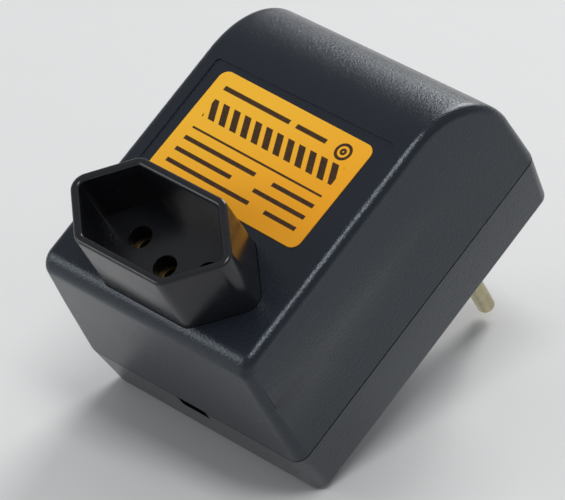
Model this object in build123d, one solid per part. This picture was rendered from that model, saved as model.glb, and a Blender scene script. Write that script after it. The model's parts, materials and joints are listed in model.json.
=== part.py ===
from build123d import *
from math import pi, radians, sqrt, tan
import os

# A plug-in travel transformer: a black box that hangs on a wall outlet by its round pins
# and offers a hexagonal socket on its front. Millimetres throughout.
# Seen from the front, X runs to the right and Z up; the front looks towards -Y and the
# pins point towards +Y. The origin is the centre of the plug's face, between its live pins.

# Plug and socket pattern, shared by the pins behind and the contacts in front
pin_pitch = 19.0
pin_diameter = 4.0
pin_length = 19.0
earth_drop = 3.0

# Case
case_width = 62.2
case_height = 83.0
front_depth = 33.15
rear_depth = 14.75
wall = 2.2
pin_inset = 17.0
socket_inset = 16.0
front_draft = 2.1
rear_draft = 1.0
parting_corner = 3.0
front_corner = 1.5
inner_corner = 0.8
rear_corner = 3.0
crown_radius = 21.5
foot_radius = 4.2
ridge_radius = 2.2
rear_ridge = 1.2
parting_gap = 0.35
tongue_height = 2.0
fit_gap = 0.1
overrun = 1.0

# Bottom pry slot in the rim of the rear cover
slot_width = 8.0
slot_depth = 2.4
slot_ramp = 4.5
slot_lip = 1.3

# Plug nose behind the case
nose_reach = 20.0
nose_half_width = 16.0
nose_half_height = 8.5
nose_corner = 6.0
nose_round = 0.8
nose_wall = 1.8
nose_face = 8.0
pin_tip_radius = 1.7
pin_root_diameter = 4.6
pin_head_diameter = 6.4
pin_head = 1.4
pin_tail_diameter = 2.0
pin_tail = 4.0
retainer_thickness = 2.0

# Label and its shallow panel
panel_side_margin = 4.2
panel_top_drop = 23.9
panel_depth = 0.3
panel_corner = 1.0
label_side_margin = 3.3
label_end_margin = 2.4
label_corner = 2.2
label_thickness = 0.2
label_shift = 0.4
label_turn = 1.4

# Hexagonal front socket
socket_reach = 16.3
socket_side_margin = 6.1
socket_half_height = 11.1
socket_corner = 3.4
socket_draft = 0.3
socket_wall = 1.9
recess_depth = 13.5
floor_thickness = 4.5
hole_diameter = 5.3
rim_round = 0.7
socket_boss_height = 4.0
socket_boss_radius = 2.1
flange_post_gap = 0.75
flange_half_height = 11.5
flange_thickness = 1.8
flange_screw_inset = 2.5
flange_screw_z = 8.8
chamber_side_gap = 4.5
chamber_half_height = 7.5
plate_thickness = 2.0
plate_screw_margin = 1.4

# Contacts
contact_bore = 4.2
contact_wall = 0.8
contact_end = 1.0
contact_slit = 0.8
tag_width = 2.4
tag_thickness = 0.8
tag_length = 4.6

# Screws
screw_diameter = 2.9
screw_head_diameter = 5.4
screw_head_height = 2.0
screw_hole = 3.3
pilot_hole = 3.0
cross_width = 0.8
cross_length = 3.2
cross_depth = 1.0
small_screw_diameter = 2.2
small_head_diameter = 3.8
small_head_height = 1.4
small_hole = 2.5
small_pilot = 2.3
plate_screw_length = 6.0

# Case screws and their posts
post_radius = 3.5
tube_radius = 4.0
corner_inset_x = 6.0
corner_inset_z = 6.0
counterbore = 6.2
counterbore_depth = 6.0
case_screw_length = 20.0
post_hole_depth = 13.5

# Transformer core: an E stack closed by an I stack
core_side_gap = 3.6
core_top_drop = 14.5
core_chamber_gap = 5.0
coil_front_gap = 3.2
core_back_gap = 2.25
limb_shares = 6
core_screw_grip = 9.5
washer_diameter = 7.0
washer_thickness = 0.5
core_post_radius = 3.5
core_post_hole = 10.0

# Bobbin and windings
bobbin_gap = 0.2
bobbin_wall = 1.0
flange_margin = 0.2
coil_overhang = 7.5
winding_gap = 0.05
common_share = 0.55
coil_margin = 0.3
tape_build = 0.25
coil_corner = 0.5
terminal_block_height = 4.0
terminal_block_half = 12.5
terminal_spacing = 6.0
terminal_count = 4
terminal_diameter = 1.0
terminal_set = 3.0
terminal_reach = 5.0

# Thermal fuse and leads
fuse_diameter = 4.0
fuse_length = 10.0
fuse_leg_diameter = 0.8
fuse_leg = 3.0
fuse_drop = 1.0
strap_width = 6.0
strap_thickness = 0.25
strap_foot = 3.5
lead_diameter = 1.8
arc_share = 0.45
terminal_room = 5.0
tag_room = 6.0
neutral_step = 1.0
earth_bow = 0.5
earth_sag = 1.0
sleeve_wall = 0.3
sleeve_length = 5.0
sleeve_gap = 0.1

# Places worked out from the sizes above
case_back = -nose_reach
parting = case_back - rear_depth
case_front = parting - front_depth
case_top = pin_inset
case_bottom = case_top - case_height
case_middle = (case_top + case_bottom) / 2
front_half_width = case_width / 2 - front_draft
socket_axis = case_bottom + socket_inset
socket_half_width = front_half_width - socket_side_margin
socket_rim = case_front - socket_reach
recess_floor = socket_rim + recess_depth
chamber_front = recess_floor + floor_thickness
contact_length = pin_length - floor_thickness + contact_end
chamber_back = chamber_front + contact_length + contact_end
plate_back = chamber_back + plate_thickness
tag_end = plate_back + tag_length
post_x = case_width / 2 - corner_inset_x
flange_half_width = post_x - post_radius - flange_post_gap
flange_screw_x = flange_half_width - flange_screw_inset
chamber_half_width = socket_half_width - chamber_side_gap
post_tops = (case_top - corner_inset_z, case_bottom + corner_inset_z)
back_inside = case_back - wall
front_inside = case_front + wall
tail_start = -nose_face - pin_head
tail_end = tail_start - retainer_thickness - pin_tail
panel_top = case_top - panel_top_drop
panel_bottom = socket_axis + socket_half_height + fit_gap
panel_middle = (panel_top + panel_bottom) / 2
panel_half_width = front_half_width - panel_side_margin
panel_height = panel_top - panel_bottom
label_width = 2 * (panel_half_width - label_side_margin)
label_height = panel_height - 2 * label_end_margin
core_back = parting - core_back_gap
core_front = front_inside + coil_front_gap + coil_overhang
core_stack = core_back - core_front
core_screw_length = washer_thickness + core_stack + core_screw_grip
core_centre_y = (core_back + core_front) / 2
core_shrink = front_draft * (parting - core_front) / front_depth
core_width = case_width - 2 * (core_shrink + wall + core_side_gap)
core_limb = core_width / limb_shares
core_top = case_top - core_top_drop
core_bottom = socket_axis + chamber_half_height + core_chamber_gap
core_height = core_top - core_bottom
core_centre_z = (core_top + core_bottom) / 2
core_hole_x = core_width / 2 - core_limb / 2
core_hole_z = core_height / 2 - core_limb / 2
window_height = core_height - 2 * core_limb
window_width = core_width / 2 - 2 * core_limb
bobbin_half_height = window_height / 2 - flange_margin
coil_back = core_back + coil_overhang
fuse_middle = core_centre_z - fuse_drop
pin_x = pin_pitch / 2

# The plug and the socket share one pattern of places: left, right and earth
pin_places = {"left": (-pin_x, 0.0), "right": (pin_x, 0.0), "earth": (0.0, -earth_drop)}
contact_places = {name: (x, socket_axis + z) for name, (x, z) in pin_places.items()}


def across(y):
    """Plane across the depth of the box at a given y, with X to the right and Z up."""
    return Plane.XZ.offset(-y)


def slab(outline, start, end, x=0.0, z=0.0):
    """Straight prism of an outline drawn in X and Z, from one y to a higher one."""
    placed = across(end) * Pos(x, z) * outline
    return extrude(placed, end - start)


def rod(radius, start, end, x=0.0, z=0.0):
    return slab(Circle(radius), start, end, x, z)


def block(half_x, half_z, start, end, x=0.0, z=0.0):
    return slab(Rectangle(2 * half_x, 2 * half_z), start, end, x, z)


def joined(pieces):
    """One solid from overlapping or touching solids."""
    whole = pieces[0]
    for piece in pieces[1:]:
        whole = whole + piece
    return whole


def hexagon(grow):
    """Outline of the socket's collar at its rim, grown all round by an amount: flat top and
    bottom, 45 degree flanks that meet at each side, and rounded corners."""
    half_width = socket_half_width + grow * sqrt(2)
    half_height = socket_half_height + grow
    flat = half_width - half_height
    sharp = Polygon(
        (half_width, 0), (flat, half_height), (-flat, half_height),
        (-half_width, 0), (-flat, -half_height), (flat, -half_height), align=None)
    return fillet(sharp.vertices(), socket_corner + grow)


def nose_outline(shell):
    return RectangleRounded(2 * (nose_half_width - shell), 2 * (nose_half_height - shell),
                            nose_corner - shell)


def front_shrink(y):
    """How far the drafted walls of the front shell have come in at y."""
    return front_draft * (parting - y) / front_depth


def rear_shrink(y):
    return rear_draft * (y - parting) / rear_depth


def case_outline(shrink, corner):
    width = case_width - 2 * shrink
    height = case_height - 2 * shrink
    shape = RectangleRounded(width, height, corner) if corner else Rectangle(width, height)
    return Pos(0, case_middle) * shape


def front_body(inset, corner, end_corner, ridge, ease):
    """Outer form of the front half, or its cavity when it is inset by the wall.

    A drafted block with a round crown, foot and side ridges is trimmed by a second one whose
    long corners are wide at the parting line and narrow towards the front. The trimming form
    stands outside the flat walls by ease."""
    end = case_front + inset
    deep = front_shrink(end) + inset
    block_form = loft([across(parting) * case_outline(inset, 0),
                       across(end) * case_outline(deep, 0)], ruled=True)
    for radius, place in ((crown_radius, -1), (foot_radius, 0)):
        front_edges = block_form.edges().filter_by(Axis.X).group_by(Axis.Y)[0].sort_by(Axis.Z)
        block_form = fillet(front_edges[place], radius - inset)
    if ridge:
        block_form = fillet(block_form.edges().filter_by(Axis.Z).group_by(Axis.Y)[0], ridge)
    corners = loft([across(parting) * case_outline(inset - ease, corner),
                    across(end) * case_outline(deep - ease, end_corner)], ruled=True)
    return block_form & corners


def rear_body(start, inset):
    """Outer form of the rear half from y = start to the back, or its cavity."""
    end = case_back - inset
    body = loft([across(start) * case_outline(rear_shrink(start) + inset, parting_corner - inset),
                 across(end) * case_outline(rear_shrink(end) + inset, rear_corner - inset)],
                ruled=True)
    return body


def make_front_shell():
    shell = front_body(0, parting_corner, front_corner, ridge_radius, 0)
    shell -= front_body(wall, parting_corner - wall, inner_corner, 0, fit_gap)
    # Rebate inside the rim for the rear cover's tongue
    rebate = slab(case_outline(wall / 2, parting_corner - wall / 2),
                  parting - tongue_height, parting + overrun)
    shell -= rebate
    # Posts for the case screws, run into the front wall and trimmed to the outer form
    middle_form = front_body(wall / 2, parting_corner - wall / 2, inner_corner, 0, fit_gap)
    for z in post_tops:
        for x in (-post_x, post_x):
            post = rod(post_radius, case_front, parting, x, z) & middle_form
            shell += post
    # Bosses that carry the socket's flange
    for x in (-flange_screw_x, flange_screw_x):
        for z in (-flange_screw_z, flange_screw_z):
            boss_end = front_inside + socket_boss_height
            boss = rod(socket_boss_radius, front_inside - wall / 2, boss_end, x, socket_axis + z)
            shell += boss
    for z in post_tops:
        for x in (-post_x, post_x):
            shell -= rod(pilot_hole / 2, parting - post_hole_depth, parting + overrun, x, z)
    for x in (-flange_screw_x, flange_screw_x):
        for z in (-flange_screw_z, flange_screw_z):
            boss_end = front_inside + socket_boss_height
            shell -= rod(small_pilot / 2, front_inside, boss_end + overrun, x, socket_axis + z)
    # Window for the socket, and the shallow panel that the label lies in
    window = hexagon(socket_draft + fit_gap)
    shell -= slab(window, case_front - overrun, front_inside + foot_radius, 0, socket_axis)
    panel = RectangleRounded(2 * panel_half_width, panel_height, panel_corner)
    shell -= slab(panel, case_front - overrun, case_front + panel_depth, 0, panel_middle)
    return shell


def make_rear_cover():
    rim = parting + parting_gap
    shell = rear_body(rim, 0)
    back_edges = shell.edges().group_by(Axis.Y)[-1]
    shell = fillet(back_edges, rear_ridge)
    tongue_corner = parting_corner - wall / 2 - fit_gap
    shell += slab(case_outline(wall / 2 + fit_gap, tongue_corner), parting - tongue_height, rim)
    # The plug's nose stands out of the back
    nose = slab(nose_outline(0), case_back - wall, 0)
    shell += fillet(nose.edges().group_by(Axis.Y)[-1], nose_round)
    cavity = rear_body(rim, wall)
    cavity += slab(case_outline(wall, parting_corner - wall), parting - tongue_height - overrun, rim)
    cavity += slab(nose_outline(nose_wall), back_inside - overrun, -nose_face)
    shell -= cavity
    for z in post_tops:
        for x in (-post_x, post_x):
            shell += rod(tube_radius, parting, back_inside + wall / 2, x, z) & rear_body(parting, wall / 2)
    for x in (-core_hole_x, core_hole_x):
        for z in (-core_hole_z, core_hole_z):
            shell += rod(core_post_radius, core_back, back_inside + wall / 2, x, core_centre_z + z)
    for z in post_tops:
        for x in (-post_x, post_x):
            shell -= rod(screw_hole / 2, parting - overrun, case_back + overrun, x, z)
            shell -= rod(counterbore / 2, case_back - counterbore_depth, case_back + overrun, x, z)
    for x in (-core_hole_x, core_hole_x):
        for z in (-core_hole_z, core_hole_z):
            shell -= rod(pilot_hole / 2, core_back - overrun, core_back + core_post_hole,
                         x, core_centre_z + z)
    # Pin holes through the nose, and the screw holes of the pin retainer
    for x, z in pin_places.values():
        shell -= rod(pin_root_diameter / 2 + fit_gap / 2, -nose_face - overrun, overrun, x, z)
    for x, z in retainer_screw_places():
        shell -= rod(small_pilot / 2, -nose_face - overrun, -nose_face + nose_face / 2, x, z)
    return shell - pry_slot(rim + slot_depth)


def pry_slot(end):
    """Notch in the bottom rim whose far side runs in as a ramp."""
    start = parting - tongue_height - overrun
    inner = case_bottom + wall + overrun
    side = Polygon((start, case_bottom - overrun), (end, case_bottom - overrun),
                   (end, case_bottom), (end + slot_ramp, case_bottom + slot_lip),
                   (end + slot_ramp, inner), (start, inner), align=None)
    return extrude(Plane.YZ * side, slot_width / 2, both=True)


def retainer_screw_places():
    height = nose_half_height - nose_wall - small_head_diameter / 2 - fit_gap
    return [(-pin_x / 2, height), (pin_x / 2, height)]


def make_pin(x, z):
    """Round pin with a domed tip, a thicker root in the nose, a head behind it and a tail."""
    shank = rod(pin_diameter / 2, 0, pin_length, x, z)
    tip_edge = shank.edges().group_by(Axis.Y)[-1]
    shank = fillet(tip_edge, pin_tip_radius)
    root = rod(pin_root_diameter / 2, -nose_face, 0, x, z)
    head = rod(pin_head_diameter / 2, tail_start, -nose_face, x, z)
    tail = rod(pin_tail_diameter / 2, tail_end, tail_start, x, z)
    return joined([shank, root, head, tail])


def make_pin_retainer():
    outline = nose_outline(nose_wall + fit_gap)
    plate = slab(outline, tail_start - retainer_thickness, tail_start)
    # A rim reaches past the pins' heads to the nose's face
    plate += slab(outline, tail_start, -nose_face)
    for x, z in pin_places.values():
        plate -= rod(pin_head_diameter / 2 + fit_gap, tail_start, -nose_face + overrun, x, z)
        plate -= rod(pin_tail_diameter / 2 + fit_gap, tail_start - retainer_thickness - overrun,
                     tail_start + overrun, x, z)
    for x, z in retainer_screw_places():
        plate -= rod(small_hole / 2, tail_start - retainer_thickness - overrun,
                     -nose_face + overrun, x, z)
    return plate


def screw(diameter, head_diameter, head_height, length, seat, towards, x, z):
    """Pan-head screw: its head's underside lies at y = seat, its shank runs towards +Y or -Y."""
    head_far = seat - towards * head_height
    shank_far = seat + towards * length
    head = rod(head_diameter / 2, min(seat, head_far), max(seat, head_far), x, z)
    rim_edge = head.edges().sort_by(Axis.Y)[0 if towards > 0 else -1]
    head = fillet(rim_edge, head_height / 3)
    shank = rod(diameter / 2, min(seat, shank_far), max(seat, shank_far), x, z)
    whole = head + shank
    share = head_diameter / screw_head_diameter
    low, high = sorted((head_far - towards * overrun, head_far + towards * cross_depth * share))
    for half_x, half_z in ((cross_length / 2, cross_width / 2), (cross_width / 2, cross_length / 2)):
        whole -= block(half_x * share, half_z * share, low, high, x, z)
    return whole


def make_case_screws():
    seat = case_back - counterbore_depth
    return [screw(screw_diameter, screw_head_diameter, screw_head_height, case_screw_length,
                  seat, -1, x, z)
            for x in (-post_x, post_x) for z in post_tops]


def core_hole_places():
    return [(x, core_centre_z + z) for x in (-core_hole_x, core_hole_x)
            for z in (-core_hole_z, core_hole_z)]


def make_core_screws():
    seat = core_front - washer_thickness
    return [screw(screw_diameter, screw_head_diameter, screw_head_height, core_screw_length,
                  seat, 1, x, z) for x, z in core_hole_places()]


def make_core_washers():
    return [rod(washer_diameter / 2, core_front - washer_thickness, core_front, x, z)
            - rod(screw_hole / 2, core_front - overrun, core_front + overrun, x, z)
            for x, z in core_hole_places()]


def make_socket_screws():
    seat = front_inside + socket_boss_height + flange_thickness
    length = flange_thickness + socket_boss_height
    return [screw(small_screw_diameter, small_head_diameter, small_head_height, length,
                  seat, -1, x, socket_axis + z)
            for x in (-flange_screw_x, flange_screw_x)
            for z in (-flange_screw_z, flange_screw_z)]


def chamber_outline():
    """Block of the contact chambers, trimmed to pass inside the collar."""
    return Rectangle(2 * chamber_half_width, 2 * chamber_half_height) & hexagon(0)


def plate_screw_places():
    height = chamber_half_height - small_head_diameter / 2 - plate_screw_margin
    return [(x, socket_axis + height) for x in (-pin_x / 2, pin_x / 2)]


def make_plate_screws():
    return [screw(small_screw_diameter, small_head_diameter, small_head_height,
                  plate_screw_length, plate_back, -1, x, z)
            for x, z in plate_screw_places()]


def make_retainer_screws():
    seat = tail_start - retainer_thickness
    length = retainer_thickness + pin_head + nose_face / 2 - fit_gap
    return [screw(small_screw_diameter, small_head_diameter, small_head_height, length,
                  seat, 1, x, z) for x, z in retainer_screw_places()]


def make_socket_body():
    """Hexagonal collar, recess floor and contact chambers, moulded in one piece."""
    seat = front_inside + socket_boss_height
    collar = loft([across(socket_rim) * Pos(0, socket_axis) * hexagon(0),
                   across(case_front) * Pos(0, socket_axis) * hexagon(socket_draft)], ruled=True)
    neck = slab(hexagon(socket_draft), case_front, seat + flange_thickness, 0, socket_axis)
    flange = block(flange_half_width, flange_half_height, seat, seat + flange_thickness, 0, socket_axis)
    hollow = hexagon(-socket_wall)
    collar -= slab(hollow, socket_rim - overrun, recess_floor, 0, socket_axis)
    collar = fillet(collar.edges().group_by(Axis.Y)[0], rim_round)
    shell = joined([collar, neck, flange])
    shell -= slab(hollow, chamber_front, seat + flange_thickness + overrun, 0, socket_axis)
    shell += slab(chamber_outline(), chamber_front - floor_thickness / 2, chamber_back, 0, socket_axis)
    for x, z in contact_places.values():
        shell -= rod(hole_diameter / 2, recess_floor - overrun, chamber_front + overrun, x, z)
        shell -= rod(contact_bore / 2 + contact_wall + fit_gap, chamber_front,
                     chamber_back + overrun, x, z)
    for x, z in plate_screw_places():
        shell -= rod(small_pilot / 2, chamber_back - plate_screw_length, chamber_back + overrun,
                     x, z)
    for x in (-flange_screw_x, flange_screw_x):
        for z in (-flange_screw_z, flange_screw_z):
            shell -= rod(small_hole / 2, seat - overrun, seat + flange_thickness + overrun,
                         x, socket_axis + z)
    return shell


def make_contact(x, z):
    """Slit spring sleeve for one pin, closed behind, with a flat tag for its lead."""
    outer = contact_bore / 2 + contact_wall
    tube_end = chamber_back - contact_end
    sleeve = rod(outer, chamber_front, tube_end + contact_end, x, z)
    sleeve -= rod(contact_bore / 2, chamber_front - overrun, tube_end, x, z)
    sleeve -= block(contact_slit / 2, outer, chamber_front - overrun, tube_end - contact_end,
                    x, z + outer)
    tag = block(tag_width / 2, tag_thickness / 2, chamber_back, tag_end, x, z)
    return sleeve + tag


def make_contact_plate():
    plate = slab(chamber_outline(), chamber_back, plate_back, 0, socket_axis)
    for x, z in contact_places.values():
        plate -= block(tag_width / 2 + fit_gap, tag_thickness / 2 + fit_gap,
                       chamber_back - overrun, plate_back + overrun, x, z)
    for x, z in plate_screw_places():
        plate -= rod(small_hole / 2, chamber_back - overrun, plate_back + overrun, x, z)
    return plate


def make_label():
    outline = Rot(0, 0, -label_turn) * RectangleRounded(label_width, label_height, label_corner)
    floor = case_front + panel_depth
    return slab(outline, floor - label_thickness, floor,
                -label_shift, panel_middle + label_shift)


def make_core_e():
    """E laminations as one stack: yoke below, three limbs up."""
    stack = block(core_width / 2, core_height / 2 - core_limb / 2, core_front, core_back,
                  0, core_centre_z - core_limb / 2)
    for side in (-1, 1):
        stack -= block(window_width / 2, window_height / 2, core_front - overrun,
                       core_back + overrun, side * core_width / 4, core_centre_z)
    for x, z in core_hole_places():
        stack -= rod(screw_hole / 2, core_front - overrun, core_back + overrun, x, z)
    return stack


def make_core_i():
    stack = block(core_width / 2, core_limb / 2, core_front, core_back,
                  0, core_top - core_limb / 2)
    for x, z in core_hole_places():
        stack -= rod(screw_hole / 2, core_front - overrun, core_back + overrun, x, z)
    return stack


def ring(inner_x, inner_y, build, half_height, corner):
    """Upright rectangular ring about the core's centre limb."""
    where = Plane.XY.offset(core_centre_z - half_height) * Pos(0, core_centre_y)
    outer = RectangleRounded(2 * (inner_x + build), 2 * (inner_y + build), corner + build)
    inner = RectangleRounded(2 * inner_x, 2 * inner_y, corner)
    return extrude(where * (outer - inner), 2 * half_height)


bobbin_x = core_limb + bobbin_gap
bobbin_y = core_stack / 2 + bobbin_gap
bobbin_outer_x = core_limb + window_width - flange_margin
winding_half = bobbin_half_height - bobbin_wall - winding_gap
# What the copper may fill, between the bobbin's tube and the edge of its flanges
copper_room = (min(bobbin_outer_x - bobbin_x, coil_overhang - bobbin_gap) - bobbin_wall
               - coil_margin - 2 * tape_build - 4 * winding_gap)


def make_bobbin():
    tube = ring(bobbin_x, bobbin_y, bobbin_wall, bobbin_half_height, coil_corner)
    outer_x = bobbin_outer_x
    outer_y = core_stack / 2 + coil_overhang
    flange = Rectangle(2 * outer_x, 2 * outer_y) - Rectangle(2 * bobbin_x, 2 * bobbin_y)
    for low in (-bobbin_half_height, bobbin_half_height - bobbin_wall):
        where = Plane.XY.offset(core_centre_z + low) * Pos(0, core_centre_y)
        tube += extrude(where * flange, bobbin_wall)
    # Terminal block below the rear end of the lower flange
    top = core_centre_z - bobbin_half_height + bobbin_wall / 2
    bar = block(terminal_block_half, terminal_block_height / 2,
                core_back + flange_margin, coil_back - flange_margin,
                0, top - terminal_block_height / 2)
    tube += bar
    for x in terminal_xs():
        hole = Plane.XY.offset(top - terminal_block_height - overrun) * Pos(x, terminal_y())
        tube -= extrude(hole * Circle(terminal_diameter / 2 + winding_gap), terminal_set + overrun)
    return tube


def terminal_xs():
    span = (terminal_count - 1) * terminal_spacing
    return [number * terminal_spacing - span / 2 for number in range(terminal_count)]


def terminal_y():
    return (core_back + coil_back) / 2


def terminal_bottom():
    return (core_centre_z - bobbin_half_height + bobbin_wall / 2
            - terminal_block_height - terminal_reach)


def make_terminals():
    return [extrude(Plane.XY.offset(terminal_bottom()) * Pos(x, terminal_y())
                    * Circle(terminal_diameter / 2), terminal_reach + terminal_set - winding_gap)
            for x in terminal_xs()]


def make_coil_layers():
    """The layers on the bobbin, from the inside out."""
    layers = {}
    grown = bobbin_wall + winding_gap
    for name, build in (("common_winding", copper_room * common_share),
                        ("interlayer_tape", tape_build),
                        ("series_winding", copper_room * (1 - common_share)),
                        ("outer_tape", tape_build)):
        layers[name] = ring(bobbin_x + grown, bobbin_y + grown, build, winding_half,
                            coil_corner + grown)
        grown += build + winding_gap
    return layers, bobbin_y + grown - winding_gap


def make_fuse(tape_y):
    """Axial thermal fuse, upright on the back of the coil, below the left pin."""
    y = tape_y + coil_margin + winding_gap + fuse_diameter / 2
    top = fuse_middle + fuse_length / 2 + fuse_leg
    parts = []
    for radius, high, low in (
            (fuse_leg_diameter / 2, top, top - fuse_leg),
            (fuse_diameter / 2, top - fuse_leg, top - fuse_leg - fuse_length),
            (fuse_leg_diameter / 2, top - fuse_leg - fuse_length,
             top - 2 * fuse_leg - fuse_length)):
        parts.append(extrude(Plane.XY.offset(low) * Pos(-pin_x, y) * Circle(radius), high - low))
    return joined(parts), y


def make_fuse_strap(tape_y, fuse_centre_y):
    """Tape bridge that holds the fuse against the coil."""
    inner = fuse_diameter / 2 + winding_gap
    outer = inner + strap_thickness
    base = tape_y + winding_gap
    where = Plane.XY.offset(fuse_middle - strap_width / 2)
    arch = Pos(-pin_x, fuse_centre_y) * Circle(outer)
    legs = Pos(-pin_x, (fuse_centre_y + base) / 2) * Rectangle(2 * outer, fuse_centre_y - base)
    feet = Pos(-pin_x, base + strap_thickness / 2) * Rectangle(2 * (outer + strap_foot), strap_thickness)
    inside = Pos(-pin_x, fuse_centre_y) * Circle(inner)
    throat = Pos(-pin_x, (fuse_centre_y + base) / 2) * Rectangle(2 * inner, fuse_centre_y - base)
    above = Pos(-pin_x, fuse_centre_y - outer) * Rectangle(4 * outer, 2 * outer)
    shape = (arch - above) + legs + feet - inside - throat
    return extrude(where * shape, strap_width)


def lead(name, points):
    """Insulated wire along straight runs joined by tangent arcs."""
    runs = [(Vector(*b) - Vector(*a)) for a, b in zip(points, points[1:])]
    radii = []
    for before, after in zip(runs, runs[1:]):
        turn = radians(before.get_angle(after))
        radii.append(arc_share * min(before.length, after.length) / tan(turn / 2))
    path = FilletPolyline(*points, radius=radii)
    section = Plane(origin=path @ 0, z_dir=path % 0) * Circle(lead_diameter / 2)
    wire = sweep(section, path)
    expected = pi * lead_diameter ** 2 / 4 * path.length
    print(name, "length", round(path.length, 1), "radii", [round(r, 1) for r in radii],
          "volume", round(wire.volume, 2), "expected", round(expected, 2))
    return wire


def sleeve(start, direction, half):
    """Shrink sleeve over the joint between a tail and its lead."""
    radius = max(pin_tail_diameter, lead_diameter) / 2 + sleeve_gap
    base = Vector(*start) - Vector(*direction) * half
    where = Plane(origin=base, z_dir=Vector(*direction))
    tube = Circle(radius + sleeve_wall) - Circle(radius)
    return extrude(where * tube, 2 * half)


def main():
    os.makedirs("parts", exist_ok=True)
    nodes = {
        "front_shell": make_front_shell(),
        "rear_cover": make_rear_cover(),
        "rating_label": make_label(),
        "socket_body": make_socket_body(),
        "contact_plate": make_contact_plate(),
        "live_contact_left": make_contact(*contact_places["left"]),
        "live_contact_right": make_contact(*contact_places["right"]),
        "earth_contact": make_contact(*contact_places["earth"]),
        "plug_pin_left": make_pin(*pin_places["left"]),
        "plug_pin_right": make_pin(*pin_places["right"]),
        "plug_pin_earth": make_pin(*pin_places["earth"]),
        "pin_retainer": make_pin_retainer(),
        "core_e_stack": make_core_e(),
        "core_i_stack": make_core_i(),
        "bobbin": make_bobbin(),
        "bobbin_terminals": make_terminals(),
        "core_screws": make_core_screws(),
        "core_washers": make_core_washers(),
        "case_screws": make_case_screws(),
        "socket_screws": make_socket_screws(),
        "contact_plate_screws": make_plate_screws(),
        "retainer_screws": make_retainer_screws(),
    }
    layers, tape_y = make_coil_layers()
    nodes.update(layers)
    tape_y += core_centre_y
    nodes["thermal_fuse"], lead_y = make_fuse(tape_y)
    nodes["fuse_strap"] = make_fuse_strap(tape_y, lead_y)

    fuse_top = fuse_middle + fuse_length / 2 + fuse_leg
    fuse_bottom = fuse_middle - fuse_length / 2 - fuse_leg
    low = terminal_bottom()
    end_y = terminal_y()
    turn_z = low - terminal_room
    earth_z = socket_axis - earth_drop
    xs = terminal_xs()
    routes = {
        "lead_line_in": [(-pin_x, tail_end, 0), (-pin_x, lead_y, 0), (-pin_x, lead_y, fuse_top)],
        "lead_fuse_out": [(-pin_x, lead_y, fuse_bottom), (-pin_x, lead_y, turn_z),
                          (xs[0], end_y, turn_z), (xs[0], end_y, low)],
        "lead_neutral_in": [(pin_x, tail_end, 0), (pin_x, lead_y, 0), (pin_x + neutral_step, lead_y, turn_z),
                            (xs[3], end_y, turn_z), (xs[3], end_y, low)],
        "lead_output_live": [(xs[1], end_y, low), (xs[1], end_y, turn_z),
                             (-pin_x, tag_end + tag_room, socket_axis), (-pin_x, tag_end, socket_axis)],
        "lead_output_neutral": [(xs[2], end_y, low), (xs[2], end_y, turn_z),
                                (pin_x, tag_end + tag_room, socket_axis), (pin_x, tag_end, socket_axis)],
        "lead_earth": [(0, tail_end, -earth_drop), (0, lead_y, -earth_drop),
                       (0, lead_y + earth_bow, (earth_z - earth_drop) / 2),
                       (0, lead_y - earth_sag, earth_z), (0, tag_end, earth_z)],
    }
    for name, points in routes.items():
        nodes[name] = lead(name, points)

    toward_front = (0, -1, 0)
    down = (0, 0, -1)
    half = sleeve_length / 2
    nodes["shrink_sleeves"] = [sleeve((x, tail_end + sleeve_gap, z), toward_front, half)
                               for x, z in pin_places.values()]
    nodes["fuse_sleeves"] = [sleeve((-pin_x, lead_y, z), down, fuse_leg - sleeve_gap)
                             for z in (fuse_top, fuse_bottom)]

    for name, shape in nodes.items():
        solids = shape if isinstance(shape, list) else shape.solids()
        whole = Compound(children=list(solids)) if len(solids) > 1 else solids[0]
        export_step(whole, "parts/" + name + ".step")
        print(name, len(solids), "solids, volume", round(whole.volume, 1))


main()
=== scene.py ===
import json
import math
import bmesh
import bpy
from mathutils import Matrix, Vector


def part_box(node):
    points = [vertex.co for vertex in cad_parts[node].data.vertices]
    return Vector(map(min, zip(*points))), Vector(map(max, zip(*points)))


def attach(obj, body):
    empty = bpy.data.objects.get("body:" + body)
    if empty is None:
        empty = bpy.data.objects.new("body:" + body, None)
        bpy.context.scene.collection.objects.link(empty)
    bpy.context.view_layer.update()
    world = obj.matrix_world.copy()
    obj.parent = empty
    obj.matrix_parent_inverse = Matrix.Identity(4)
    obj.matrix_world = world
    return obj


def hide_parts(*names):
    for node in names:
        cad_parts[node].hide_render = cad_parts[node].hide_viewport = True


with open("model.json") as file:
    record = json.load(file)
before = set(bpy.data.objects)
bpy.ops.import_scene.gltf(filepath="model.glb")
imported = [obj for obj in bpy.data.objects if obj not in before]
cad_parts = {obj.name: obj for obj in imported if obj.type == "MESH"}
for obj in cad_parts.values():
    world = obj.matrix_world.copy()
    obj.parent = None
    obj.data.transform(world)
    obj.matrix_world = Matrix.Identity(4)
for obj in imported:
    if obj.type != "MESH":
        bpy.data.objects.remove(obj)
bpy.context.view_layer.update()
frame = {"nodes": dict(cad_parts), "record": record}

mm = 0.001
root = "root"
noiseMiddle = 0.5   # what a noise texture averages


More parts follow.
